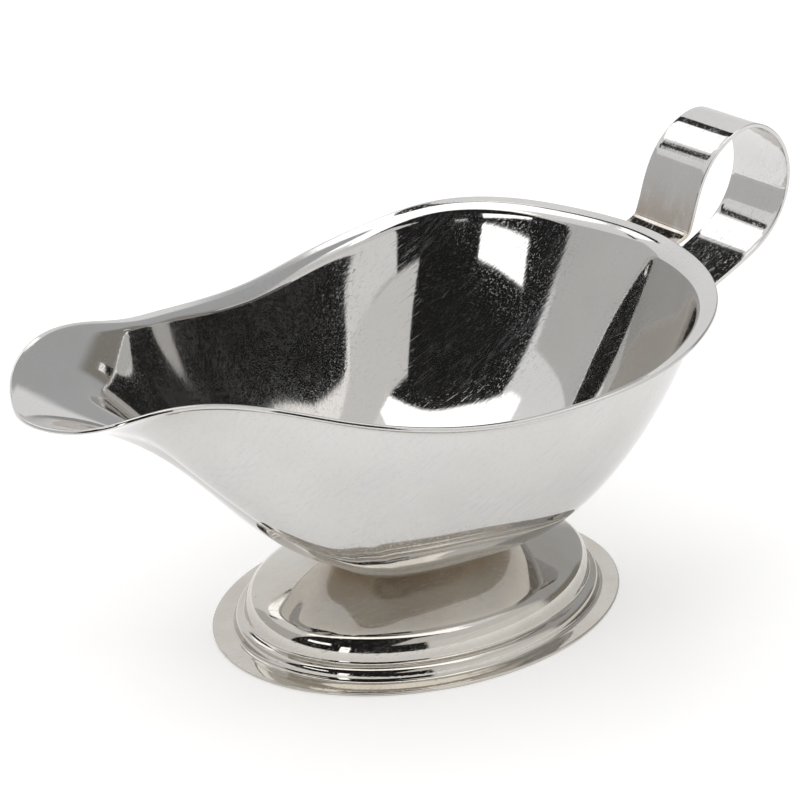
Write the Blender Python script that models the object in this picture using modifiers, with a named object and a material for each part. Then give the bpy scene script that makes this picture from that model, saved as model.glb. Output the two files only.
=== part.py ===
"""Footed stainless gravy boat: pressed bowl, pressed oval foot, bent strap handle and their seams.

The boat is drawn around the centre of its foot. X runs along the boat with the spout at -X and the
handle at +X, Z is up, and the XZ plane is its plane of symmetry. An empty then shifts everything so
that the origin is the middle of the whole object's outline, on the surface it stands on.
"""
import math

import bmesh
import bpy
import numpy as np

MM = 0.001

# Driving dimensions, in millimetres, measured from the centre of the foot.
SHEET = 0.9                    # sheet thickness of the bowl
FOOT_SHEET = 0.8               # sheet thickness of the foot
STRAP_SHEET = 1.0              # thickness of the handle strip
STRAP_WIDTH = 18.5
GAP = 0.3                      # clearance between neighbouring solids
BRAZE = 0.4                    # height of the brazed seam under the bowl
FRAME_SHIFT = -3.2             # moves the foot's centre so that the whole outline is centred

# Half of the rim's outer edge, from the tip of the spout to the back: x, y, z.
RIM = (
    (-98.7, 0.0, 71.5), (-96.6, 8.6, 71.8), (-90.6, 19.0, 74.5), (-82.0, 24.5, 77.3),
    (-72.0, 27.1, 77.1), (-61.0, 29.6, 74.4), (-47.5, 37.0, 70.7), (-31.5, 44.6, 67.5),
    (-13.0, 50.5, 66.3), (5.5, 54.8, 68.2), (23.5, 55.5, 71.3), (40.5, 50.0, 75.5),
    (53.5, 37.3, 77.5), (62.2, 20.5, 77.6), (66.5, 0.0, 77.4),
)
LIP_WIDTH = 3.5                # how far the rim flares out beyond the wall
LIP_DROP = 0.35                # fall of the lip towards the wall, per unit of its width

# The oval on which the bowl stands, and how its wall leaves that oval and arrives under the lip.
BASE_HALF_LENGTH = 24.8
BASE_HALF_WIDTH = 14.3
BASE_X = -0.3
BASE_Z = 17.6
# Shares of the rim, counted from the tip of the spout, over which one wall shape gives way to another.
SPOUT_FADE = (0.05, 0.28)
BACK_RISE = (0.6, 1.0)
LIP_GROWTH = ((0.25, 0.03, 0.12), (0.75, 0.10, 0.50))    # part of the lip's width, from, to
# Slopes in degrees and handle lengths (as a share of the wall) at the base and under the lip.
WALL_SHAPE = {
    "spout": {"base_slope": 24.0, "lip_slope": 14.0, "base_pull": 0.335, "lip_pull": 0.427},
    "side": {"base_slope": 2.0, "lip_slope": 76.0, "base_pull": 0.30, "lip_pull": 0.30},
    "back": {"base_slope": 15.0, "lip_slope": 74.0, "base_pull": 0.273, "lip_pull": 0.378},
}

# The foot's upper face, from the edge of the flange to the crown: half length, half width, height.
FOOT_PROFILE = (
    (51.5, 39.3, 0.8), (49.5, 37.6, 0.8), (47.3, 36.3, 0.8), (46.5, 35.5, 1.3), (46.0, 34.9, 2.6),
    (45.3, 34.1, 3.6), (44.1, 32.8, 4.0), (43.6, 32.3, 5.8), (42.8, 31.5, 7.8), (41.3, 30.0, 9.2),
    (38.6, 27.4, 10.5), (34.4, 23.2, 12.1), (30.2, 19.1, 13.7), (26.8, 15.8, 15.1),
    (24.4, 13.4, 16.1), (22.6, 11.8, 16.6),
)

# Outer face of the strap handle seen from the side, from the weld pad up and over: x, z.
STRAP_PAD = ((51.8, 42.0), (53.9, 46.2), (55.9, 49.9))
STRAP_LOOP = (
    (82.9, 62.7), (92.0, 67.0), (98.9, 71.6), (103.6, 78.6), (104.9, 86.2), (102.6, 93.6),
    (97.2, 99.0), (90.6, 101.2), (83.6, 99.2), (77.9, 94.4), (74.6, 88.2), (72.6, 81.0),
)
STRAP_TAB = ((71.6, 77.9), (68.6, 76.4), (64.2, 74.4))
PLAN_RADIUS_PAD = 27.0         # radius in plan of the bowl's back wall at the weld pad
PLAN_RADIUS_TAB = 36.0         # the same just under the lip
PAD_FIT = (1.0, 1.0, 0.4)      # how far each point of the pad takes on that curve in plan
TAB_FIT = (0.0, 0.5, 1.0)      # the same for the tab
WELD_BEAD_RADIUS = 0.4
WELD_HALF_SPAN = 6.5
SEAM_WIDTH = 3.0               # width of the brazed ring in plan
SEAM_INSET = 0.5               # how far it stays inside the edge of the crown
NUGGET_RADIUS = 1.7
NUGGET_THICKNESS = 0.35
NUGGET_SPREAD = 4.6            # distance of each spot weld from the plane of symmetry

# How finely the surfaces are divided.
BOWL_COLUMNS = 33
BOWL_ROWS = 12
BASE_RING = 0.45               # size of the inner ring of the bowl's base, as a share of the oval
FOOT_COLUMNS = 56
SEAM_COLUMNS = 40
STRAP_STEPS = 34
STRAP_STRIPS = 4
WELD_STEPS = 6
NUGGET_SIDES = 20
FINE_STEPS = 3000              # samples of a curve before its points are spread out evenly
SHARP_ANGLE = 35.0             # degrees

STEEL = (0.74, 0.73, 0.71, 1.0)
WARM_STEEL = (0.66, 0.61, 0.55, 1.0)
SEAM = (0.42, 0.33, 0.26, 1.0)


def clear_scene():
    for obj in list(bpy.data.objects):
        bpy.data.objects.remove(obj, do_unlink=True)


def make_material(name, colour, roughness):
    material = bpy.data.materials.new(name)
    material.use_nodes = True
    shader = material.node_tree.nodes["Principled BSDF"]
    shader.inputs["Base Color"].default_value = colour
    shader.inputs["Metallic"].default_value = 1.0
    shader.inputs["Roughness"].default_value = roughness
    return material


def smoothstep(value, start, end):
    share = np.clip((value - start) / (end - start), 0.0, 1.0)
    return share * share * (3.0 - 2.0 * share)


def spline_through(points, closed):
    """Cubic spline with continuous curvature; returns its knots and an evaluator."""
    knots_at = np.vstack([points, points[:1]]) if closed else np.asarray(points, float)
    steps = np.linalg.norm(np.diff(knots_at, axis=0), axis=1)
    knots = np.concatenate([[0.0], np.cumsum(steps)])
    count = len(steps) if closed else len(knots_at)
    matrix = np.zeros((count, count))
    right = np.zeros((count, knots_at.shape[1]))
    slopes = np.diff(knots_at, axis=0) / steps[:, None]
    for i in range(count):
        if not closed and i in (0, count - 1):
            matrix[i, i] = 1.0
            continue
        before, after = steps[i - 1], steps[i % len(steps)]
        matrix[i, i - 1] += before
        matrix[i, i] += 2.0 * (before + after)
        matrix[i, (i + 1) % count] += after
        right[i] = 6.0 * (slopes[i % len(steps)] - slopes[i - 1])
    bends = np.linalg.solve(matrix, right)
    if closed:
        bends = np.vstack([bends, bends[:1]])

    def evaluate(at):
        cell = np.clip(np.searchsorted(knots, at, side="right") - 1, 0, len(steps) - 1)
        step = steps[cell][:, None]
        low = (at - knots[cell])[:, None]
        high = step - low
        curve = (bends[cell] * high ** 3 + bends[cell + 1] * low ** 3) / (6.0 * step)
        curve += (knots_at[cell] / step - bends[cell] * step / 6.0) * high
        return curve + (knots_at[cell + 1] / step - bends[cell + 1] * step / 6.0) * low

    return knots, evaluate


def spread(curve, count):
    """Points at equal distances along a densely sampled curve."""
    lengths = np.concatenate([[0.0], np.cumsum(np.linalg.norm(np.diff(curve, axis=0), axis=1))])
    wanted = np.linspace(0.0, lengths[-1], count)
    return np.stack([np.interp(wanted, lengths, curve[:, axis]) for axis in range(curve.shape[1])], 1)


def half_rim(count):
    """The +Y half of the rim and its outward directions in plan."""
    half = np.array(RIM)
    other_half = half[-2:0:-1] * (1.0, -1.0, 1.0)
    knots, evaluate = spline_through(np.vstack([half, other_half]), closed=True)
    rim = spread(evaluate(np.linspace(0.0, knots[len(RIM) - 1], FINE_STEPS)), count)
    along = np.gradient(rim, axis=0)
    along[0] = (0.0, 1.0, 0.0)
    along[-1] = (0.0, -1.0, 0.0)
    outward = np.stack([-along[:, 1], along[:, 0], np.zeros(count)], 1)
    return rim, outward / np.linalg.norm(outward, axis=1)[:, None]


def oval(half_length, half_width, angles):
    return np.stack([half_length * np.cos(angles), half_width * np.sin(angles)], 1)


def bowl_half_surface():
    """Outer face of the +Y half of the bowl: a grid of points, columns by rows."""
    rim, outward = half_rim(BOWL_COLUMNS)
    share = np.linspace(0.0, 1.0, BOWL_COLUMNS)
    spout = 1.0 - smoothstep(share, *SPOUT_FADE)
    back = smoothstep(share, *BACK_RISE)
    weights = {"spout": spout, "side": (1.0 - spout) * (1.0 - back), "back": back}

    def blend(key):
        return sum(weights[zone] * WALL_SHAPE[zone][key] for zone in weights)

    lip = LIP_WIDTH * sum(part * smoothstep(share, start, end) for part, start, end in LIP_GROWTH)
    wall_top = rim - lip[:, None] * outward
    wall_top[:, 2] -= LIP_DROP * lip
    dense = np.linspace(math.pi, 0.0, FINE_STEPS)
    dense_oval = oval(BASE_HALF_LENGTH, BASE_HALF_WIDTH, dense)
    travelled = np.concatenate([[0.0], np.cumsum(np.linalg.norm(np.diff(dense_oval, axis=0), axis=1))])
    angles = np.interp(share * travelled[-1], travelled, dense)
    flat_oval = oval(BASE_HALF_LENGTH, BASE_HALF_WIDTH, angles)
    base = np.column_stack([BASE_X + flat_oval[:, 0], flat_oval[:, 1], np.full(BOWL_COLUMNS, BASE_Z)])
    base_out = np.stack([np.cos(angles) / BASE_HALF_LENGTH, np.sin(angles) / BASE_HALF_WIDTH], 1)
    base_out = np.column_stack([base_out, np.zeros(BOWL_COLUMNS)])
    base_out /= np.linalg.norm(base_out, axis=1)[:, None]

    span = np.linalg.norm(wall_top - base, axis=1)[:, None]
    up = np.array((0.0, 0.0, 1.0))
    base_slope = np.radians(blend("base_slope"))[:, None]
    lip_slope = np.radians(blend("lip_slope"))[:, None]
    leave = np.cos(base_slope) * base_out + np.sin(base_slope) * up
    arrive = np.cos(lip_slope) * outward + np.sin(lip_slope) * up
    first = base + blend("base_pull")[:, None] * span * leave
    second = wall_top - blend("lip_pull")[:, None] * span * arrive

    t = np.linspace(0.0, 1.0, BOWL_ROWS)[None, :, None]
    wall = (1 - t) ** 3 * base[:, None] + 3 * (1 - t) ** 2 * t * first[:, None]
    wall += 3 * (1 - t) * t * t * second[:, None] + t ** 3 * wall_top[:, None]
    return np.concatenate([wall, rim[:, None]], 1)


def add_grid(mesh, grid, closed):
    """Quads over a grid of points; returns its vertices, column by column."""
    vertices = [[mesh.verts.new(point * MM) for point in column] for column in grid]
    columns = len(vertices)
    for i in range(columns if closed else columns - 1):
        here, there = vertices[i], vertices[(i + 1) % columns]
        for j in range(len(here) - 1):
            mesh.faces.new((here[j], there[j], there[j + 1], here[j + 1]))
    return vertices


def finish_object(mesh, name, material, collection, parent):
    """Make an object of a bmesh, smooth it and place it under the frame's empty."""
    data = bpy.data.meshes.new(name)
    mesh.to_mesh(data)
    mesh.free()
    data.materials.append(material)
    data.shade_smooth()
    data.set_sharp_from_angle(angle=math.radians(SHARP_ANGLE))
    obj = bpy.data.objects.new(name, data)
    collection.objects.link(obj)
    obj.parent = parent
    return obj


def add_solidify(obj, thickness, offset):
    solidify = obj.modifiers.new("sheet", "SOLIDIFY")
    solidify.thickness = thickness * MM
    solidify.offset = offset
    solidify.use_even_offset = True


def build_bowl(material, collection, parent):
    """Half of the outer face with its flat base, mirrored and given the sheet's thickness."""
    grid = bowl_half_surface()
    mesh = bmesh.new()
    vertices = add_grid(mesh, grid, closed=False)
    ring = [column[0] for column in vertices]
    inner_ring = []
    centre = np.array((BASE_X, 0.0, BASE_Z))
    for column in grid:
        inner = column[0] * BASE_RING + centre * (1.0 - BASE_RING)
        inner_ring.append(mesh.verts.new(inner * MM))
    for i in range(BOWL_COLUMNS - 1):
        mesh.faces.new((inner_ring[i], inner_ring[i + 1], ring[i + 1], ring[i]))
    mesh.faces.new(inner_ring)
    bmesh.ops.recalc_face_normals(mesh, faces=mesh.faces)
    lowest = min(mesh.faces, key=lambda face: face.calc_center_median().z)
    if lowest.normal.z > 0:
        bmesh.ops.reverse_faces(mesh, faces=mesh.faces)
    bowl = finish_object(mesh, "bowl", material, collection, parent)
    mirror = bowl.modifiers.new("other_half", "MIRROR")
    mirror.use_axis = (False, True, False)
    mirror.use_clip = True
    mirror.merge_threshold = 0.0001
    add_solidify(bowl, SHEET, -1.0)


def build_foot(material, collection, parent):
    """Oval rings lofted up the foot's profile, closed by the flat crown, open underneath."""
    angles = np.linspace(0.0, 2.0 * math.pi, FOOT_COLUMNS, endpoint=False)
    rings = []
    for half_length, half_width, height in FOOT_PROFILE:
        ring = oval(half_length, half_width, angles)
        rings.append(np.column_stack([ring, np.full(FOOT_COLUMNS, height)]))
    mesh = bmesh.new()
    vertices = add_grid(mesh, np.stack(rings, 1), closed=True)
    mesh.faces.new([column[-1] for column in vertices])
    bmesh.ops.recalc_face_normals(mesh, faces=mesh.faces)
    crown = max(mesh.faces, key=lambda face: face.calc_center_median().z)
    if crown.normal.z < 0:
        bmesh.ops.reverse_faces(mesh, faces=mesh.faces)
    foot = finish_object(mesh, "pedestal_foot", material, collection, parent)
    add_solidify(foot, FOOT_SHEET, -1.0)


def build_braze_seam(material, collection, parent):
    """Thin oval ring of filler between the foot's crown and the bowl's base."""
    angles = np.linspace(0.0, 2.0 * math.pi, SEAM_COLUMNS, endpoint=False)
    crown_length, crown_width, crown_height = FOOT_PROFILE[-1]
    low = crown_height + GAP
    high = low + BRAZE
    inner = SEAM_INSET + SEAM_WIDTH
    section = ((SEAM_INSET, low), (SEAM_INSET, high), (inner, high), (inner, low))
    rings = []
    for inward, height in section + section[:1]:
        ring = oval(crown_length - inward, crown_width - inward, angles)
        rings.append(np.column_stack([ring, np.full(SEAM_COLUMNS, height)]))
    mesh = bmesh.new()
    add_grid(mesh, np.stack(rings, 1), closed=True)
    bmesh.ops.remove_doubles(mesh, verts=mesh.verts, dist=0.01 * MM)
    bmesh.ops.recalc_face_normals(mesh, faces=mesh.faces)
    finish_object(mesh, "foot_braze_seam", material, collection, parent)


def strap_path():
    """Side view of the strap's outer face: pad, straight run, loop and tab."""
    loop = np.array(STRAP_LOOP)
    knots, evaluate = spline_through(loop, closed=False)
    curve = spread(evaluate(np.linspace(0.0, knots[-1], FINE_STEPS)), STRAP_STEPS)
    return np.vstack([STRAP_PAD, curve, STRAP_TAB])


def build_strap(material, collection, parent):
    """A strip along the path, its two ends curved in plan to the bowl's back wall."""
    path = strap_path()
    across = np.linspace(-STRAP_WIDTH / 2, STRAP_WIDTH / 2, STRAP_STRIPS + 1)
    bend_in_plan = np.zeros(len(path))
    bend_in_plan[:len(PAD_FIT)] = np.array(PAD_FIT) / PLAN_RADIUS_PAD
    bend_in_plan[-len(TAB_FIT):] = np.array(TAB_FIT) / PLAN_RADIUS_TAB
    mesh = bmesh.new()
    grid = []
    for (x, z), bend in zip(path, bend_in_plan):
        grid.append([np.array((x - bend * y * y / 2.0, y, z)) for y in across])
    add_grid(mesh, grid, closed=False)
    bmesh.ops.recalc_face_normals(mesh, faces=mesh.faces)
    strap = finish_object(mesh, "handle_strap", material, collection, parent)
    top = max(strap.data.polygons, key=lambda face: face.center.z)
    inward = -1.0 if top.normal.z > 0 else 1.0
    add_solidify(strap, STRAP_SHEET, inward)


def build_upper_weld(material, collection, parent):
    """Fillet bead across the bowl's wall where the strap's tab ends."""
    end_x, end_z = STRAP_TAB[-1]
    curve = bpy.data.curves.new("handle_upper_weld", "CURVE")
    curve.dimensions = "3D"
    curve.bevel_depth = WELD_BEAD_RADIUS * MM
    curve.bevel_resolution = 2
    curve.use_fill_caps = True
    spline = curve.splines.new("POLY")
    spline.points.add(WELD_STEPS)
    to_bead = GAP + 1.3 * WELD_BEAD_RADIUS
    for point, y in zip(spline.points, np.linspace(-WELD_HALF_SPAN, WELD_HALF_SPAN, WELD_STEPS + 1)):
        x = end_x - to_bead - y * y / (2.0 * PLAN_RADIUS_TAB)
        point.co = (x * MM, y * MM, (end_z - STRAP_SHEET / 2) * MM, 1.0)
    curve.materials.append(material)
    weld = bpy.data.objects.new("handle_upper_weld", curve)
    collection.objects.link(weld)
    weld.parent = parent


def build_lower_weld(name, side, material, collection, parent):
    """Spot-weld nugget between the strap's pad and the bowl's back wall."""
    (low_x, low_z), (high_x, high_z) = STRAP_PAD[:2]
    run, rise = high_x - low_x, high_z - low_z
    length = math.hypot(run, rise)
    out_x, out_z = rise / length, -run / length
    y = side * NUGGET_SPREAD
    depth = STRAP_SHEET + GAP + NUGGET_THICKNESS / 2
    x = (low_x + high_x) / 2 - depth * out_x - y * y / (2.0 * PLAN_RADIUS_PAD)
    z = (low_z + high_z) / 2 - depth * out_z
    bpy.ops.mesh.primitive_cylinder_add(
        vertices=NUGGET_SIDES, radius=NUGGET_RADIUS * MM, depth=NUGGET_THICKNESS * MM)
    nugget = bpy.context.active_object
    nugget.name = name
    turn_in_plan = math.asin(y / PLAN_RADIUS_PAD)
    nugget.rotation_euler = (0.0, math.atan2(out_x, out_z), turn_in_plan)
    nugget.location = (x * MM, y * MM, z * MM)
    nugget.data.materials.append(material)
    for other in list(nugget.users_collection):
        other.objects.unlink(nugget)
    collection.objects.link(nugget)
    nugget.parent = parent


def main():
    clear_scene()
    collection = bpy.data.collections.new("gravy_boat")
    bpy.context.scene.collection.children.link(collection)
    frame = bpy.data.objects.new("gravy_boat_frame", None)
    frame.location = (FRAME_SHIFT * MM, 0.0, 0.0)
    collection.objects.link(frame)
    steel = make_material("polished_steel", STEEL, 0.08)
    foot_steel = make_material("foot_steel", WARM_STEEL, 0.10)
    strap_steel = make_material("strap_steel", STEEL, 0.14)
    seam = make_material("seam_metal", SEAM, 0.35)
    build_bowl(steel, collection, frame)
    build_foot(foot_steel, collection, frame)
    build_braze_seam(seam, collection, frame)
    build_strap(strap_steel, collection, frame)
    build_upper_weld(seam, collection, frame)
    for name, side in (("handle_lower_weld_left", 1.0), ("handle_lower_weld_right", -1.0)):
        build_lower_weld(name, side, seam, collection, frame)


main()
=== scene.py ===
"""Looks of the footed gravy boat: fine pressed-steel surfaces, polished-metal materials, studio.

Lengths are in millimetres around the centre of the foot until they become vertices. X runs from
the spout (-X) to the handle (+X), Z is up, and the XZ plane is the plane of symmetry.
"""
import math

import bmesh
import bpy
import numpy as np
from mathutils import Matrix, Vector


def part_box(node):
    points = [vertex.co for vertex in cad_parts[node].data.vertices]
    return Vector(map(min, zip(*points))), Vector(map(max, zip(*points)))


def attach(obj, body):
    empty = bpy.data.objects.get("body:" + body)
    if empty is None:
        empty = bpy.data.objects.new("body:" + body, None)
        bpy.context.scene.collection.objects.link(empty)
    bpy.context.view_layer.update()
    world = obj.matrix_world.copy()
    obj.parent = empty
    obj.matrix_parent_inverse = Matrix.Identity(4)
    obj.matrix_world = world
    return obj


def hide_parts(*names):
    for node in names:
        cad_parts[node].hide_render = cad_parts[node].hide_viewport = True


MM = 0.001
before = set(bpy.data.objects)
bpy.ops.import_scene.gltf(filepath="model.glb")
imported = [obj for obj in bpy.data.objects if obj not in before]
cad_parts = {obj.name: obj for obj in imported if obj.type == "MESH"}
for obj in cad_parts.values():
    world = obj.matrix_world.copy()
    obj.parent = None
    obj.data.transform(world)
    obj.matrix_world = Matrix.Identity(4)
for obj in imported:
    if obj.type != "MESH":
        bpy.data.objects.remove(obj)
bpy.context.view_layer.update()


FOOT_LOW, FOOT_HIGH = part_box("pedestal_foot")
FOOT_CENTRE_X = (FOOT_LOW[0] + FOOT_HIGH[0]) / 2 / MM

SHEET = 0.9                    # sheet thickness of the bowl
FOOT_SHEET = 0.8
STRAP_SHEET = 1.0
STRAP_WIDTH = 18.5
GAP = 0.3                      # clearance that the seams stand in

# Half of the rim's outer edge, from the tip of the spout to the back: x, y, z.
RIM = (
    (-98.7, 0.0, 71.5), (-96.6, 8.6, 71.8), (-90.6, 19.0, 74.5), (-82.0, 24.5, 77.3),
    (-72.0, 27.1, 77.1), (-61.0, 29.6, 74.4), (-47.5, 37.0, 70.7), (-31.5, 44.6, 67.5),
    (-13.0, 50.5, 66.3), (5.5, 54.8, 68.2), (23.5, 55.5, 71.3), (40.5, 50.0, 75.5),
    (53.5, 37.3, 77.5), (62.2, 20.5, 77.6), (66.5, 0.0, 77.4),
)
LIP_WIDTH = 3.5                # how far the rim flares out beyond the wall
LIP_START = 0.8                # the same at the tip of the spout
LIP_DROP = 0.35                # fall of the lip towards the wall, per unit of its width
LIP_GROWTH = ((0.25, 0.03, 0.12), (0.75, 0.10, 0.50))    # part of the lip's growth, from, to
BASE_HALF_LENGTH = 24.8
BASE_HALF_WIDTH = 14.3
BASE_X = -0.3
BASE_Z = 17.6
# Shares of the rim, counted from the tip of the spout, over which one wall gives way to another.
SPOUT_FADE = (0.05, 0.28)
BACK_RISE = (0.6, 1.0)
# Slopes in degrees and handle lengths (as a share of the wall) at the base and under the lip.
WALL_SHAPE = {
    "spout": {"base_slope": 24.0, "lip_slope": 14.0, "base_pull": 0.335, "lip_pull": 0.427},
    "side": {"base_slope": 2.0, "lip_slope": 76.0, "base_pull": 0.30, "lip_pull": 0.30},
    "back": {"base_slope": 15.0, "lip_slope": 74.0, "base_pull": 0.273, "lip_pull": 0.378},
}
LIP_FILLET = 1.6               # length along the wall over which it turns into the lip
BASE_FILLET = 5.0              # the same for the turn from the floor into the wall
EDGE_RADIUS = 0.28             # of the rounded free edges of the bowl and the foot
KEEL_COLUMNS = 14              # columns on either side of the keel that share its round
KEEL_ROWS = ((26, 40), (64, 76))    # rows over which that round begins and ends
STRAP_EDGE = 0.22

# The foot's upper face: half length, half width, height. A corner is kept sharp by repeating it.
FOOT_PROFILE = (
    (51.5, 39.3, 0.8), (51.5, 39.3, 0.8), (49.5, 37.6, 0.8), (47.3, 36.3, 0.8), (46.4, 35.4, 0.9),
    (46.2, 35.2, 2.0), (45.9, 34.8, 3.2), (45.1, 33.9, 3.9), (44.2, 32.9, 3.95),
    (44.0, 32.7, 4.1), (43.8, 32.5, 5.6), (43.2, 31.9, 7.8), (42.2, 30.9, 9.4), (40.9, 29.6, 10.2),
    (38.8, 27.6, 10.9), (34.8, 23.6, 12.3), (30.3, 19.2, 13.8), (26.9, 15.9, 15.1),
    (24.7, 13.7, 16.2), (23.3, 12.4, 16.9), (22.6, 11.8, 17.0),
)

# Outer face of the strap seen from the side, from the weld pad up and over to the tab: x, z.
STRAP_PAD = ((51.8, 42.0), (53.9, 46.2), (55.9, 49.9))
STRAP_LOOP = (
    (82.9, 62.7), (92.0, 67.0), (98.9, 71.6), (103.6, 78.6), (104.9, 86.2), (102.6, 93.6),
    (97.2, 99.0), (90.6, 101.2), (83.6, 99.2), (77.9, 94.4), (74.6, 88.2), (72.6, 81.0),
)
STRAP_TAB = ((71.6, 77.9), (68.6, 76.4), (64.2, 74.4))
PLAN_RADIUS_PAD = 27.0         # radius in plan of the bowl's back wall at the weld pad
PLAN_RADIUS_TAB = 36.0         # the same just under the lip
PAD_FADE = (54.4, 59.9)        # x over which the strap leaves that curve above the pad
TAB_FADE = (65.0, 71.0)        # the same for the tab
PAD_TOP = 60.0                 # height below which the strap counts as pad
TAB_BOTTOM = 73.0              # height above which it may count as tab
BRAZE_REACH = 1.5              # of the fillet round the crown, outwards
BRAZE_DROP = 0.9               # and downwards
BRAZE_INSIDE = 2.0             # how far it fills the gap inwards
WELD_RADIUS = 0.4
WELD_HALF_SPAN = 6.5
WELD_SETBACK = 0.82            # distance of the bead's middle from the end of the tab
NUGGET_RADIUS = 1.7
NUGGET_THICKNESS = 0.35
NUGGET_SPREAD = 4.6            # distance of each spot weld from the plane of symmetry
# Section of a spot weld: share of its radius, share of its thickness.
NUGGET_SECTION = (
    (0.1, 0.5), (0.6, 0.5), (0.9, 0.42), (1.0, 0.1), (1.0, -0.1), (0.9, -0.42), (0.6, -0.5),
    (0.1, -0.5),
)

# How finely the surfaces are divided.
BOWL_COLUMNS = 181
FLOOR_ROWS = 12
FLOOR_FILLET_ROWS = 8
WALL_ROWS = 60
LIP_FILLET_ROWS = 9
LIP_ROWS = 5
FOOT_COLUMNS = 300
FOOT_ROWS = 110
BRAZE_COLUMNS = 240
BRAZE_ROWS = 9
STRAP_STEPS = 300
STRAP_STRIPS = 14
BEAD_STEPS = 80
BEAD_SIDES = 20
NUGGET_SIDES = 48
FINE_STEPS = 6000              # samples of a curve before its points are spread out evenly
OVAL_STEPS = 3000
FOOT_CURVE_STEPS = 2600
STRAP_CURVE_STEPS = 2000
MIDDLE = 0.06                  # size of the face that closes a surface's middle, as a share
EDGE_ANGLES = (18, 36, 54, 72, 90)
SHARP_ANGLE = 50.0             # degrees, for the strap


# ---------------------------------------------------------------- curves and grids

def smoothstep(value, start, end):
    share = np.clip((value - start) / (end - start), 0.0, 1.0)
    return share * share * (3.0 - 2.0 * share)


def spline_through(points, closed):
    """Cubic spline with continuous curvature; returns its knots and an evaluator."""
    knots_at = np.vstack([points, points[:1]]) if closed else np.asarray(points, float)
    steps = np.linalg.norm(np.diff(knots_at, axis=0), axis=1)
    knots = np.concatenate([[0.0], np.cumsum(steps)])
    count = len(steps) if closed else len(knots_at)
    matrix = np.zeros((count, count))
    right = np.zeros((count, knots_at.shape[1]))
    slopes = np.diff(knots_at, axis=0) / steps[:, None]
    for i in range(count):
        if not closed and i in (0, count - 1):
            matrix[i, i] = 1.0
            continue
        before, after = steps[i - 1], steps[i % len(steps)]
        matrix[i, i - 1] += before
        matrix[i, i] += 2.0 * (before + after)
        matrix[i, (i + 1) % count] += after
        right[i] = 6.0 * (slopes[i % len(steps)] - slopes[i - 1])
    bends = np.linalg.solve(matrix, right)
    if closed:
        bends = np.vstack([bends, bends[:1]])

    def evaluate(at):
        cell = np.clip(np.searchsorted(knots, at, side="right") - 1, 0, len(steps) - 1)
        step = steps[cell][:, None]
        low = (at - knots[cell])[:, None]
        high = step - low
        curve = (bends[cell] * high ** 3 + bends[cell + 1] * low ** 3) / (6.0 * step)
        curve += (knots_at[cell] / step - bends[cell] * step / 6.0) * high
        return curve + (knots_at[cell + 1] / step - bends[cell + 1] * step / 6.0) * low

    return knots, evaluate


def b_spline(points, count):
    """Cubic B-spline that follows a list of control points smoothly, end to end."""
    control = np.asarray(points, float)
    control = np.vstack([2 * control[0] - control[1], control, 2 * control[-1] - control[-2]])
    spans = len(control) - 3
    at = np.linspace(0.0, spans - 1e-9, count)
    cell = at.astype(int)
    t = (at - cell)[:, None]
    weights = ((1 - t) ** 3, 3 * t ** 3 - 6 * t ** 2 + 4, -3 * t ** 3 + 3 * t ** 2 + 3 * t + 1, t ** 3)
    return sum(weight * control[cell + k] for k, weight in enumerate(weights)) / 6.0


def spread(curve, count):
    """Points at equal distances along a densely sampled curve."""
    lengths = np.concatenate([[0.0], np.cumsum(np.linalg.norm(np.diff(curve, axis=0), axis=1))])
    wanted = np.linspace(0.0, lengths[-1], count)
    return np.stack([np.interp(wanted, lengths, curve[:, axis]) for axis in range(curve.shape[1])], 1)


def half_rim(count):
    """The +Y half of the rim and its outward directions in plan."""
    half = np.array(RIM)
    other_half = half[-2:0:-1] * (1.0, -1.0, 1.0)
    knots, evaluate = spline_through(np.vstack([half, other_half]), closed=True)
    rim = spread(evaluate(np.linspace(0.0, knots[len(RIM) - 1], FINE_STEPS)), count)
    along = np.gradient(rim, axis=0)
    along[0] = (0.0, 1.0, 0.0)
    along[-1] = (0.0, -1.0, 0.0)
    outward = np.stack([-along[:, 1], along[:, 0], np.zeros(count)], 1)
    return rim, outward / np.linalg.norm(outward, axis=1)[:, None]


def oval(half_length, half_width, angles):
    return np.stack([half_length * np.cos(angles), half_width * np.sin(angles)], 1)


def open_keel(half):
    """Round the keel under the spout, where the columns beside it would crowd and cross."""
    share = np.linspace(0.0, 1.0, KEEL_COLUMNS + 1)[:, None, None]
    keel, flank = half[:1], half[KEEL_COLUMNS:KEEL_COLUMNS + 1]
    arc = keel + (flank - keel) * np.concatenate([share ** 2, share, share ** 2], 2)
    rows = np.arange(half.shape[1])[None, :, None]
    weight = 1.0 - smoothstep(share, 0.25, 1.0)
    begins, ends = KEEL_ROWS
    weight = weight * smoothstep(rows, *begins) * (1.0 - smoothstep(rows, *ends))
    half[:KEEL_COLUMNS + 1] = arc * weight + half[:KEEL_COLUMNS + 1] * (1.0 - weight)
    return half


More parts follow.
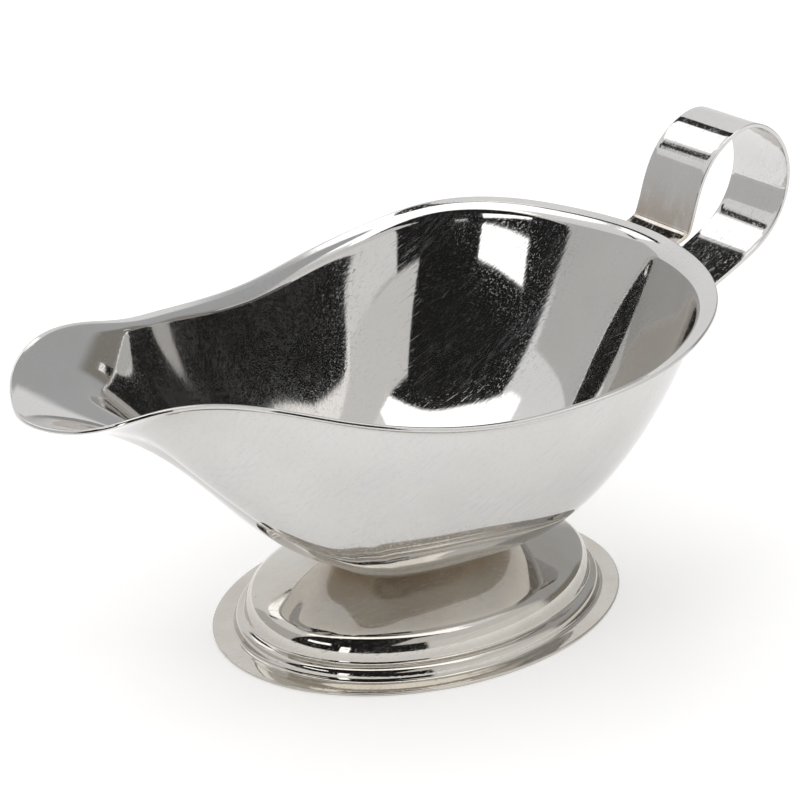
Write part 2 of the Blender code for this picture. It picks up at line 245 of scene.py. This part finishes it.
def bowl_outer_grid(columns):
    """Outer face of the bowl from the middle of its floor to the rim: columns all round by rows."""
    rim, outward = half_rim(columns)
    share = np.linspace(0.0, 1.0, columns)
    spout = 1.0 - smoothstep(share, *SPOUT_FADE)
    back = smoothstep(share, *BACK_RISE)
    weights = {"spout": spout, "side": (1.0 - spout) * (1.0 - back), "back": back}

    def blend(key):
        return sum(weights[zone] * WALL_SHAPE[zone][key] for zone in weights)[:, None]

    widening = sum(part * smoothstep(share, start, end) for part, start, end in LIP_GROWTH)
    lip = (LIP_START + (LIP_WIDTH - LIP_START) * widening)[:, None]
    wall_top = rim - lip * outward
    wall_top[:, 2] -= LIP_DROP * lip[:, 0]
    dense = np.linspace(math.pi, 0.0, OVAL_STEPS)
    steps = np.linalg.norm(np.diff(oval(BASE_HALF_LENGTH, BASE_HALF_WIDTH, dense), axis=0), axis=1)
    travelled = np.concatenate([[0.0], np.cumsum(steps)])
    angles = np.interp(share * travelled[-1], travelled, dense)
    flat_oval = oval(BASE_HALF_LENGTH, BASE_HALF_WIDTH, angles)
    base = np.column_stack([BASE_X + flat_oval[:, 0], flat_oval[:, 1], np.full(columns, BASE_Z)])
    base_out = np.stack([np.cos(angles) / BASE_HALF_LENGTH, np.sin(angles) / BASE_HALF_WIDTH], 1)
    base_out = np.column_stack([base_out, np.zeros(columns)])
    base_out /= np.linalg.norm(base_out, axis=1)[:, None]

    span = np.linalg.norm(wall_top - base, axis=1)[:, None]
    up = np.array((0.0, 0.0, 1.0))
    base_slope = np.radians(blend("base_slope"))
    lip_slope = np.radians(blend("lip_slope"))
    leaving = np.cos(base_slope) * base_out + np.sin(base_slope) * up
    arriving = np.cos(lip_slope) * outward + np.sin(lip_slope) * up
    first = base + blend("base_pull") * span * leaving
    second = wall_top - blend("lip_pull") * span * arriving

    def wall(t):
        curve = (1 - t) ** 3 * base[:, None] + 3 * (1 - t) ** 2 * t * first[:, None]
        return curve + 3 * (1 - t) * t * t * second[:, None] + t ** 3 * wall_top[:, None]

    def corner(start, middle, stop, rows):
        t = np.linspace(0.0, 1.0, rows)[1:-1][None, :, None]
        start, middle, stop = start[:, None], middle[:, None], stop[:, None]
        return (1 - t) ** 2 * start + 2 * t * (1 - t) * middle + t * t * stop

    centre = np.array((BASE_X, 0.0, BASE_Z))
    from_centre = np.linalg.norm(base - centre, axis=1)[:, None]
    floor_end = base - (base - centre) / from_centre * BASE_FILLET
    wall_start = BASE_FILLET / (3.0 * blend("base_pull") * span)
    fillet = np.minimum(LIP_FILLET, 0.45 * lip)
    wall_stop = 1.0 - fillet / (3.0 * blend("lip_pull") * span)
    lip_start = wall_top + (rim - wall_top) * fillet / lip
    rows = np.linspace(0.0, 1.0, WALL_ROWS)[None, :]
    body = wall((wall_start * (1 - rows) + wall_stop * rows)[:, :, None])
    floor_rows = np.linspace(MIDDLE, 1.0, FLOOR_ROWS)[None, :, None]
    floor_part = centre + (floor_end[:, None] - centre) * floor_rows
    lip_rows = np.linspace(0.0, 1.0, LIP_ROWS)[None, :, None]
    across_lip = (rim - wall_top) / np.linalg.norm(rim - wall_top, axis=1)[:, None]
    rim_inset = rim - EDGE_RADIUS * across_lip
    lip_start = np.where(lip > 2.5 * EDGE_RADIUS, lip_start, wall_top * 0.6 + rim_inset * 0.4)
    flare = (1 - lip_rows) * lip_start[:, None] + lip_rows * rim_inset[:, None]
    floor_fillet = corner(floor_end, base, body[:, 0], FLOOR_FILLET_ROWS)
    lip_fillet = corner(body[:, -1], wall_top, lip_start, LIP_FILLET_ROWS)
    parts = [floor_part, floor_fillet, body, lip_fillet, flare]
    half = open_keel(np.concatenate(parts, 1))
    other_half = half[-2:0:-1] * (1.0, -1.0, 1.0)
    return np.concatenate([half, other_half], 0)


def outward_normals(grid):
    """Unit normals of the outer face: down where columns run clockwise from above, else up."""
    along = np.roll(grid, -1, 0) - np.roll(grid, 1, 0)
    normals = np.cross(np.gradient(grid, axis=1), along)
    return normals / np.linalg.norm(normals, axis=2)[:, :, None]


def add_rings(mesh, rings):
    """Quads over a grid of points, columns all round by rows; returns its vertices."""
    shift = np.array((FOOT_CENTRE_X, 0.0, 0.0))
    vertices = [[mesh.verts.new((point + shift) * MM) for point in column] for column in rings]
    for here, there in zip(vertices, vertices[1:] + vertices[:1]):
        for j in range(len(here) - 1):
            mesh.faces.new((here[j], there[j], there[j + 1], here[j + 1]))
    return vertices


def sheet_shell(grid, thickness):
    """Closed shell of a pressed sheet: outer face, rounded free edge, inner face.

    The grid runs from the middle (first row) to the free edge (last row).
    """
    normals = outward_normals(grid)
    inner = grid - thickness * normals
    edge_out = grid[:, -1] - grid[:, -2]
    edge_out /= np.linalg.norm(edge_out, axis=1)[:, None]
    edge = []
    for angle in np.radians(EDGE_ANGLES):
        step = EDGE_RADIUS * (math.sin(angle) * edge_out - (1 - math.cos(angle)) * normals[:, -1])
        edge.append(grid[:, -1] + step)
    for angle in np.radians(EDGE_ANGLES[::-1]):
        step = EDGE_RADIUS * (math.sin(angle) * edge_out + (1 - math.cos(angle)) * normals[:, -1])
        edge.append(inner[:, -1] + step)
    return np.concatenate([grid, np.stack(edge, 1), inner[:, ::-1]], 1)


def closed_mesh(rings):
    """A closed mesh from columns all round, with a face over the first and the last row."""
    mesh = bmesh.new()
    vertices = add_rings(mesh, rings)
    for end in (0, -1):
        mesh.faces.new([column[end] for column in vertices])
    bmesh.ops.recalc_face_normals(mesh, faces=mesh.faces)
    return mesh


def make_object(mesh, name, material, node):
    """Turn a bmesh into a piece that rides on the only body and stands for a CAD node."""
    data = bpy.data.meshes.new(name)
    mesh.to_mesh(data)
    mesh.free()
    data.materials.append(material)
    data.shade_smooth()
    piece = bpy.data.objects.new(name, data)
    bpy.context.scene.collection.objects.link(piece)
    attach(piece, "root")
    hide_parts(node)
    return piece


# ---------------------------------------------------------------- pieces

def make_bowl(material):
    shell = sheet_shell(bowl_outer_grid(BOWL_COLUMNS), SHEET)
    make_object(closed_mesh(shell), "bowl_pressing", material, "bowl")


def make_foot(material):
    angles = np.linspace(0.0, 2.0 * math.pi, FOOT_COLUMNS, endpoint=False)
    profile = spread(b_spline(FOOT_PROFILE[::-1], FOOT_CURVE_STEPS), FOOT_ROWS)
    last = profile[-1] - profile[-2]
    profile[-1] -= EDGE_RADIUS * last / np.linalg.norm(last)
    crown = profile[0]
    middle = [(crown[0] * k, crown[1] * k, crown[2]) for k in np.linspace(MIDDLE, 0.97, 12)]
    rings = []
    for half_length, half_width, height in np.vstack([middle, profile]):
        ring = oval(half_length, half_width, angles)
        rings.append(np.column_stack([ring, np.full(len(ring), height)]))
    shell = sheet_shell(np.stack(rings, 1), FOOT_SHEET)
    make_object(closed_mesh(shell), "foot_pressing", material, "pedestal_foot")


def make_braze(material):
    """Filler that wicked round the crown of the foot: a concave ring under the bowl."""
    angles = np.linspace(0.0, 2.0 * math.pi, BRAZE_COLUMNS, endpoint=False)
    crown_length, crown_width, _ = FOOT_PROFILE[-1]
    top = BASE_Z + 0.05
    section = [(-BRAZE_INSIDE, 0.0)]
    for angle in np.radians(np.linspace(90, 0, BRAZE_ROWS)):
        section.append((BRAZE_REACH * (1 - math.sin(angle)), -BRAZE_DROP * math.cos(angle)))
    section.append((BRAZE_REACH, 0.0))
    rings = []
    for outward, z in section:
        ring = oval(crown_length + outward, crown_width + outward, angles)
        rings.append(np.column_stack([ring, np.full(len(ring), top + z)]))
    mesh = bmesh.new()
    vertices = add_rings(mesh, np.stack(rings, 1))
    for here, there in zip(vertices, vertices[1:] + vertices[:1]):
        mesh.faces.new((here[-1], there[-1], there[0], here[0]))
    bmesh.ops.recalc_face_normals(mesh, faces=mesh.faces)
    make_object(mesh, "braze_fillet", material, "foot_braze_seam")


def strap_route(count):
    """Outer face of the strap in the plane of symmetry, from the pad up and over to the tab."""
    knots, evaluate = spline_through(np.array(STRAP_LOOP), closed=False)
    loop = spread(evaluate(np.linspace(0.0, knots[-1], STRAP_CURVE_STEPS)), 60)
    pad, tab = np.array(STRAP_PAD), np.array(STRAP_TAB)
    low = b_spline(np.vstack([pad, pad[-1] * 0.5 + loop[0] * 0.5, loop[:4]]), 600)
    bend = loop[-1] * 0.35 + tab[0] * 0.65
    after_bend = tab[0] * 0.65 + tab[1] * 0.35
    high = b_spline(np.vstack([loop[-4:], bend, tab[0], after_bend, tab[1:]]), 600)
    low = low[low[:, 0] <= loop[2, 0]]
    return spread(np.vstack([low, loop[3:-3], high[high[:, 1] <= loop[-3, 1]]]), count)


def strap_section():
    """Section of the strap with rounded corners: y, depth below its outer face."""
    half = STRAP_WIDTH / 2 - STRAP_EDGE
    corners = (
        (half, STRAP_EDGE, 0), (half, STRAP_SHEET - STRAP_EDGE, 90),
        (-half, STRAP_SHEET - STRAP_EDGE, 180), (-half, STRAP_EDGE, 270),
    )
    flats = {90: (1.0, STRAP_SHEET), 270: (-1.0, 0.0)}
    section = []
    for corner_y, corner_depth, first in corners:
        for angle in np.radians(np.linspace(first, first + 90, 5) - 90):
            y = corner_y + STRAP_EDGE * math.cos(angle)
            section.append((y, corner_depth + STRAP_EDGE * math.sin(angle)))
        if first in flats:
            sign, depth = flats[first]
            across = np.linspace(sign * half, -sign * half, STRAP_STRIPS)[1:-1]
            section.extend((y, depth) for y in across)
    return section


def make_strap(material):
    path = strap_route(STRAP_STEPS)
    along = np.gradient(path, axis=0)
    along /= np.linalg.norm(along, axis=1)[:, None]
    inward = np.stack([-along[:, 1], along[:, 0]], 1)
    section = strap_section()
    rings = []
    for (x, z), (in_x, in_z) in zip(path, inward):
        pad_fit = 1.0 - smoothstep(x, *PAD_FADE) if z < PAD_TOP else 0.0
        tab_fit = 1.0 - smoothstep(x, *TAB_FADE) if z > TAB_BOTTOM else 0.0
        fit = pad_fit / (2.0 * PLAN_RADIUS_PAD) + tab_fit / (2.0 * PLAN_RADIUS_TAB)
        rings.append([(x + in_x * d - fit * y * y, y, z + in_z * d) for y, d in section])
    mesh = closed_mesh(np.array(rings).transpose(1, 0, 2))
    strap = make_object(mesh, "strap_handle", material, "handle_strap")
    strap.data.set_sharp_from_angle(angle=math.radians(SHARP_ANGLE))


def make_upper_weld(material):
    """Slightly uneven bead where the tab ends on the wall."""
    end_x, end_z = STRAP_TAB[-1]
    rings = []
    for y in np.linspace(-WELD_HALF_SPAN, WELD_HALF_SPAN, BEAD_STEPS):
        to_end = max(0.0, abs(y) - WELD_HALF_SPAN + WELD_RADIUS) / WELD_RADIUS
        roundness = math.sqrt(max(0.02, 1.0 - to_end ** 2))
        radius = WELD_RADIUS * roundness * (0.96 + 0.04 * math.sin(5.0 * y))
        x = end_x - WELD_SETBACK - y * y / (2.0 * PLAN_RADIUS_TAB)
        ring = []
        for angle in np.linspace(0.0, 2.0 * math.pi, BEAD_SIDES, endpoint=False):
            height = end_z - STRAP_SHEET / 2 + radius * math.sin(angle)
            ring.append((x + radius * math.cos(angle), y, height))
        rings.append(ring)
    mesh = closed_mesh(np.array(rings).transpose(1, 0, 2))
    make_object(mesh, "upper_weld_bead", material, "handle_upper_weld")


def make_lower_weld(material, name, side):
    """Spot weld between the pad and the wall: a lens of metal with a rounded edge."""
    (low_x, low_z), (high_x, high_z) = STRAP_PAD[:2]
    length = math.hypot(high_x - low_x, high_z - low_z)
    out_x, out_z = (high_z - low_z) / length, -(high_x - low_x) / length
    y = side * NUGGET_SPREAD
    depth = STRAP_SHEET + GAP + NUGGET_THICKNESS / 2
    turn = math.asin(y / PLAN_RADIUS_PAD)
    normal = np.array((out_x * math.cos(turn), out_x * math.sin(turn), out_z))
    level = np.array((-math.sin(turn), math.cos(turn), 0.0))
    upward = np.cross(normal, level)
    x = (low_x + high_x) / 2 - depth * out_x - y * y / (2.0 * PLAN_RADIUS_PAD)
    centre = np.array((x, y, (low_z + high_z) / 2 - depth * out_z))
    rings = []
    for angle in np.linspace(0.0, 2.0 * math.pi, NUGGET_SIDES, endpoint=False):
        spoke = math.cos(angle) * level + math.sin(angle) * upward
        spoke *= NUGGET_RADIUS * (0.97 + 0.03 * math.sin(5.0 * angle))
        up = NUGGET_THICKNESS * normal
        rings.append([centre + k * spoke + h * up for k, h in NUGGET_SECTION])
    make_object(closed_mesh(np.array(rings)), name, material, "handle_" + name)


# ---------------------------------------------------------------- node helpers

class Field:
    """A node socket that can be combined with + - * to grow a tree of math nodes."""

    def __init__(self, tree, socket):
        self.tree = tree
        self.socket = socket

    def plug(self, target):
        self.tree.links.new(self.socket, target)

    def math(self, operation, *others):
        node = self.tree.nodes.new("ShaderNodeMath")
        node.operation = operation
        self.plug(node.inputs[0])
        for slot, other in zip(list(node.inputs)[1:], others):
            if isinstance(other, Field):
                other.plug(slot)
            else:
                slot.default_value = other
        return Field(self.tree, node.outputs[0])

    def __add__(self, other):
        return self.math("ADD", other)

    def __sub__(self, other):
        return self.math("SUBTRACT", other)

    def __mul__(self, other):
        return self.math("MULTIPLY", other)

    def above(self, limit, soft):
        """0 below the limit, 1 above it, with a soft edge of the given width."""
        node = self.tree.nodes.new("ShaderNodeMapRange")
        node.interpolation_type = "SMOOTHSTEP"
        self.math("SUBTRACT", limit).plug(node.inputs["Value"])
        node.inputs["From Min"].default_value = -soft / 2
        node.inputs["From Max"].default_value = soft / 2
        return Field(self.tree, node.outputs["Result"])

    def below(self, limit, soft):
        """1 below the limit, 0 above it."""
        return self.above(limit, soft) * -1.0 + 1.0


# Places of the colour sockets among the inputs and outputs of a Mix node.
MIX_COLOUR_INPUTS = (6, 7)
MIX_COLOUR_OUTPUT = 2


def mix_colour(tree, share, first, second):
    """Colour between two colours or colour sockets, by a field from 0 to 1."""
    node = tree.nodes.new("ShaderNodeMix")
    node.data_type = "RGBA"
    share.plug(node.inputs["Factor"])
    for place, colour in zip(MIX_COLOUR_INPUTS, (first, second)):
        if isinstance(colour, Field):
            colour.plug(node.inputs[place])
        else:
            node.inputs[place].default_value = (*colour, 1.0)
    return Field(tree, node.outputs[MIX_COLOUR_OUTPUT])


# ---------------------------------------------------------------- materials

WIPED_TINT = (0.55, 0.60, 0.70)
BROWN_TINT = (0.46, 0.40, 0.33)
SPECK_TINT = (0.16, 0.12, 0.09)


def start_material(name):
    """New material; returns its tree, its shader and positions on the object in millimetres."""
    material = bpy.data.materials.new(name)
    material.use_nodes = True
    tree = material.node_tree
    to_mm = tree.nodes.new("ShaderNodeVectorMath")
    to_mm.operation = "SCALE"
    to_mm.inputs["Scale"].default_value = 1.0 / MM
    tree.links.new(tree.nodes.new("ShaderNodeTexCoord").outputs["Object"], to_mm.inputs[0])
    return material, tree.nodes["Principled BSDF"], Field(tree, to_mm.outputs["Vector"])


def noise(place, size, stretch=1.0, turn=(0.0, 0.0, 0.0), detail=2.0):
    """Noise round 0.5 with features `size` mm across, `stretch` times longer along a turned Z axis."""
    mapping = place.tree.nodes.new("ShaderNodeMapping")
    mapping.vector_type = "TEXTURE"
    place.plug(mapping.inputs["Vector"])
    mapping.inputs["Rotation"].default_value = [math.radians(angle) for angle in turn]
    mapping.inputs["Scale"].default_value = (size, size, size * stretch)
    texture = place.tree.nodes.new("ShaderNodeTexNoise")
    texture.inputs["Scale"].default_value = 1.0
    texture.inputs["Detail"].default_value = detail
    place.tree.links.new(mapping.outputs["Vector"], texture.inputs["Vector"])
    return Field(place.tree, texture.outputs[0])


def specks(place, spacing, radius):
    """Small round spots, one in each cell of a random pattern."""
    texture = place.tree.nodes.new("ShaderNodeTexVoronoi")
    texture.inputs["Scale"].default_value = 1.0 / spacing
    place.plug(texture.inputs["Vector"])
    share = radius / spacing
    return Field(place.tree, texture.outputs["Distance"]).below(share, 0.5 * share)


def axis(place, name):
    """One coordinate of a position, in millimetres."""
    node = place.tree.nodes.new("ShaderNodeSeparateXYZ")
    place.plug(node.inputs[0])
    return Field(place.tree, node.outputs[name])


def add_bump(shader, height):
    """Bend the shader's normals by a height field in millimetres."""
    bump = height.tree.nodes.new("ShaderNodeBump")
    bump.inputs["Distance"].default_value = MM
    height.plug(bump.inputs["Height"])
    height.tree.links.new(bump.outputs["Normal"], shader.inputs["Normal"])


def polished_steel(name, colour, lean, browning, wear):
    """Polished sheet: wiping marks, hairlines, smudges, specks and a brown tint in places.

    `lean` turns the wiping marks, the tint function makes a 0 to 1 field from a position that says
    where the brown tint goes and `wear` scales how scratched the surface is.
    """
    material, shader, place = start_material(name)
    tree = place.tree
    smudge = noise(place, 16.0, detail=4.0)
    patchy = noise(place, 9.0, 2.5, lean, 3.0)
    wiping = noise(place, 0.8, 20.0, lean)
    crossing = noise(place, 0.7, 26.0, (lean[0] + 24.0, lean[1] - 62.0, lean[2]))
    hairline = noise(place, 0.30, 70.0, (lean[0] - 9.0, lean[1] + 21.0, lean[2])).above(0.66, 0.06)
    nick = noise(place, 0.34, 30.0, (lean[0] + 40.0, lean[1] - 31.0, lean[2])).above(0.70, 0.04)
    spots = specks(place, 7.0, 0.22) * noise(place, 11.0).above(0.58, 0.05)
    haze = wiping.above(0.58, 0.30) * patchy.above(0.54, 0.30) + crossing.above(0.62, 0.22) * 0.4
    marks = (hairline + nick) * wear
    dull = haze * (0.085 * wear) + marks * 0.10 + spots * 0.12
    (dull * -1.0 + 0.992).plug(shader.inputs["Metallic"])
    rough = smudge.above(0.5, 0.4) * 0.02 + haze * 0.01 + marks * 0.10 + spots * 0.2
    (rough + 0.032 * wear).plug(shader.inputs["Roughness"])
    bright, dark = ([channel * k for channel in colour] for k in (1.02, 0.965))
    clean = mix_colour(tree, smudge.above(0.5, 0.5), bright, dark)
    wiped = mix_colour(tree, haze * 0.25, clean, WIPED_TINT)
    browned = mix_colour(tree, browning(place), wiped, BROWN_TINT)
    mix_colour(tree, spots * 0.7, browned, SPECK_TINT).plug(shader.inputs["Base Color"])
    ripple = noise(place, 30.0) * 0.045 + noise(place, 7.0, detail=1.0) * 0.0035
    grain = noise(place, 0.45, 9.0, lean, 1.0) * (0.0026 * wear) + wiping * (0.0022 * wear)
    add_bump(shader, ripple + grain - marks * 0.002 - spots * 0.004)
    return material


def bowl_heat(place):
    """Browned by brazing round the underside, where the foot joins."""
    low = axis(place, "Z").below(BASE_Z + 0.4, 1.6)
    return low * noise(place, 5.0).above(0.35, 0.5)


def foot_browning(place):
    """Brown tint that grows towards the crown, under the bowl, and faint brown patches lower down."""
    high = axis(place, "Z").above(15.2, 4.5)
    patches = noise(place, 14.0, detail=4.0).above(0.56, 0.20) * 0.22
    return high * noise(place, 4.0).above(0.30, 0.5) * 0.8 + patches


def strap_heat(place):
    """Browned round the pad and the tab, where the strap is welded."""
    height = axis(place, "Z")
    along_boat = axis(place, "X")
    low = height.below(52.0, 10.0) * along_boat.above(40.0, 1.0)
    high = height.above(70.0, 5.0) * height.below(84.0, 12.0) * along_boat.below(74.0, 5.0)
    return (low + high) * noise(place, 4.0, 3.0).above(0.40, 0.4) * 0.75


def weld_metal(name, colour, scorched, size):
    """Solidified filler: lumps `size` mm across, rougher than the sheet, scorched in patches."""
    material, shader, place = start_material(name)
    lumps = noise(place, size, detail=3.0)
    fine = noise(place, size * 0.2, detail=3.0)
    mix_colour(place.tree, lumps.above(0.5, 0.25), colour, scorched).plug(shader.inputs["Base Color"])
    (fine * 0.3 + lumps * 0.15 + 0.08).plug(shader.inputs["Roughness"])
    (lumps * -0.4 + 1.1).plug(shader.inputs["Metallic"])
    add_bump(shader, lumps * (0.08 * size) + fine * (0.012 * size))
    return material


# ---------------------------------------------------------------- studio

CAMERA_AZIMUTH = -36.69        # degrees from -Y towards +X
CAMERA_ELEVATION = 23.59
CAMERA_AT = (-0.2776, -0.3648, 0.2509)    # metres from the centre of the foot
CAMERA_LENS = 100.0
CAMERA_SENSOR = 36.0
FLOOR_HALF_SIZE = 4.0          # metres


def make_camera():
    azimuth = math.radians(CAMERA_AZIMUTH)
    elevation = math.radians(CAMERA_ELEVATION)
    level = math.cos(elevation)
    back = Vector((math.sin(azimuth) * level, -math.cos(azimuth) * level, math.sin(elevation)))
    data = bpy.data.cameras.new("camera")
    data.lens = CAMERA_LENS
    data.sensor_width = CAMERA_SENSOR
    data.clip_start = 0.01
    camera = bpy.data.objects.new("camera", data)
    camera.location = Vector(CAMERA_AT) + Vector((FOOT_CENTRE_X * MM, 0.0, 0.0))
    camera.rotation_mode = "QUATERNION"
    camera.rotation_quaternion = (-back).to_track_quat("-Z", "Y")
    bpy.context.scene.collection.objects.link(camera)
    bpy.context.scene.camera = camera


def grey(level, warmth=0.0):
    """Grey light of the given level, yellower for a positive warmth and bluer for a negative one."""
    return (level * (1.0 + warmth), level, level * (1.0 - 1.4 * warmth))


# The dark side ends overhead in an arch: its top in degrees of elevation, its middle in degrees of
# azimuth and its fall per square degree away from that.
ARCH_TOP = 58.0
ARCH_MIDDLE = 5.0
ARCH_FALL = 0.0064
ARCH_HALF_WIDTH = 62.0         # degrees of azimuth over which the softbox follows the arch down
SOFTBOX_LOW = 38.0             # lowest elevation that it reaches there
SOFTBOX_EDGE = 57.0            # its elevation everywhere else
DARK_LEFT = (-66.0, 0.48)      # azimuth of the dark side's left end, and its lean
DARK_RIGHT = 54.0
ARCH_SOFT = 2.0
BOUNCES_TO_EVEN_OUT = 3.5      # paths with more segments than this see one even tone

# Flags and softboxes round the table, later ones over earlier ones: azimuth from and to, counted
# from the camera to its right, elevation from and to, lean (degrees of azimuth per degree of
# elevation), softness of the edges, colour.
CARDS = (
    ((32.0, 95.0), (-5.0, 20.0), 0.0, 2.0, grey(0.90, 0.01)),
    ((-1.4, 95.0), (20.0, 43.5), 0.7, 1.5, grey(0.80, 0.015)),
    ((-48.0, -28.0), (13.5, 19.7), 0.0, 0.6, grey(2.2)),
    ((-21.0, -14.0), (-3.0, 13.0), 0.1, 0.8, grey(2.0)),
    ((-125.0, -64.0), (-5.0, 26.0), 0.30, 1.0, grey(0.62, 0.01)),
    ((98.0, 166.0), (-5.0, 82.0), 0.0, 7.0, grey(0.50, -0.01)),
    ((96.0, 135.0), (-5.0, 18.0), 0.0, 9.0, grey(0.26, 0.07)),
    ((-161.0, -151.0), (36.0, 62.0), 0.0, 1.0, grey(0.02)),
    ((-150.0, -118.0), (38.0, 52.0), 0.0, 1.0, grey(1.8)),
    ((-114.0, -108.0), (31.0, 42.0), 0.0, 1.0, grey(0.02)),
)


def make_world():
    """A dark room on the camera's side, pale walls elsewhere and a large softbox overhead."""
    world = bpy.data.worlds.new("studio")
    bpy.context.scene.world = world
    world.use_nodes = True
    tree = world.node_tree
    direction = tree.nodes.new("ShaderNodeTexCoord").outputs["Generated"]
    facing = math.atan2(CAMERA_AT[1], CAMERA_AT[0])

    def along(vector):
        dot = tree.nodes.new("ShaderNodeVectorMath")
        dot.operation = "DOT_PRODUCT"
        tree.links.new(direction, dot.inputs[0])
        dot.inputs[1].default_value = vector
        return Field(tree, dot.outputs["Value"])

    towards = along((math.cos(facing), math.sin(facing), 0.0))
    sideways = along((-math.sin(facing), math.cos(facing), 0.0))
    azimuth = sideways.math("ARCTAN2", towards) * math.degrees(1.0)
    elevation = along((0.0, 0.0, 1.0)).math("ARCSINE") * math.degrees(1.0)
    walls = mix_colour(tree, elevation.above(30.0, 60.0), grey(0.90), grey(1.0))
    off_axis = azimuth - ARCH_MIDDLE
    arch = off_axis * off_axis * ARCH_FALL + elevation
    over_arch = off_axis.above(-ARCH_HALF_WIDTH, ARCH_SOFT) * off_axis.below(ARCH_HALF_WIDTH, ARCH_SOFT)
    over_arch = over_arch * elevation.above(SOFTBOX_LOW, ARCH_SOFT) * arch.above(ARCH_TOP, ARCH_SOFT)
    overhead = over_arch.math("MAXIMUM", elevation.above(SOFTBOX_EDGE, ARCH_SOFT))
    colour = mix_colour(tree, overhead, walls, grey(1.9, 0.01))
    left_end, left_lean = DARK_LEFT
    left_side = (azimuth - elevation * left_lean).above(left_end, 1.0)
    dark = arch.below(ARCH_TOP, ARCH_SOFT) * left_side * azimuth.below(DARK_RIGHT, ARCH_SOFT)
    colour = mix_colour(tree, dark, colour, grey(0.012))
    for (left, right), (low, high), lean, soft, tone in CARDS:
        leaning = azimuth - elevation * lean
        inside = leaning.above(left, soft) * leaning.below(right, soft)
        inside = inside * elevation.above(low, soft) * elevation.below(high, soft)
        colour = mix_colour(tree, inside, colour, tone)
    light_path = tree.nodes.new("ShaderNodeLightPath")
    scattered = Field(tree, light_path.outputs["Ray Depth"]).above(BOUNCES_TO_EVEN_OUT, 0.2)
    colour = mix_colour(tree, scattered, colour, grey(0.95, 0.04))
    camera_ray = Field(tree, light_path.outputs["Is Camera Ray"])
    mix_colour(tree, camera_ray, colour, grey(1.0)).plug(tree.nodes["Background"].inputs["Color"])


def make_floor():
    """Plain pale table, faintly lit from below."""
    mesh = bmesh.new()
    bmesh.ops.create_grid(mesh, x_segments=1, y_segments=1, size=FLOOR_HALF_SIZE)
    data = bpy.data.meshes.new("floor")
    mesh.to_mesh(data)
    mesh.free()
    floor = bpy.data.objects.new("floor", data)
    bpy.context.scene.collection.objects.link(floor)
    material = bpy.data.materials.new("floor")
    material.use_nodes = True
    shader = material.node_tree.nodes["Principled BSDF"]
    shader.inputs["Base Color"].default_value = (0.78, 0.78, 0.78, 1.0)
    shader.inputs["Roughness"].default_value = 0.9
    shader.inputs["Emission Color"].default_value = (1.0, 1.0, 1.0, 1.0)
    shader.inputs["Emission Strength"].default_value = 0.36
    data.materials.append(material)


bpy.context.scene.view_settings.view_transform = "Standard"
make_camera()
make_world()
make_floor()
# Colour, turn of the wiping marks, brown tint and wear of each sheet part.
make_bowl(polished_steel("bowl_steel", (0.635, 0.625, 0.61), (18.0, 38.0, 0.0), bowl_heat, 1.0))
make_foot(polished_steel("foot_steel", (0.575, 0.55, 0.505), (35.0, 60.0, 20.0), foot_browning, 1.2))
make_strap(polished_steel("strap_steel", (0.63, 0.62, 0.61), (5.0, 50.0, 0.0), strap_heat, 1.6))
make_braze(weld_metal("braze_filler", (0.32, 0.21, 0.13), (0.10, 0.07, 0.05), 3.0))
weld = weld_metal("weld_metal", (0.50, 0.46, 0.41), (0.20, 0.15, 0.11), 1.5)
make_upper_weld(weld)
make_lower_weld(weld, "lower_weld_left", 1.0)
make_lower_weld(weld, "lower_weld_right", -1.0)
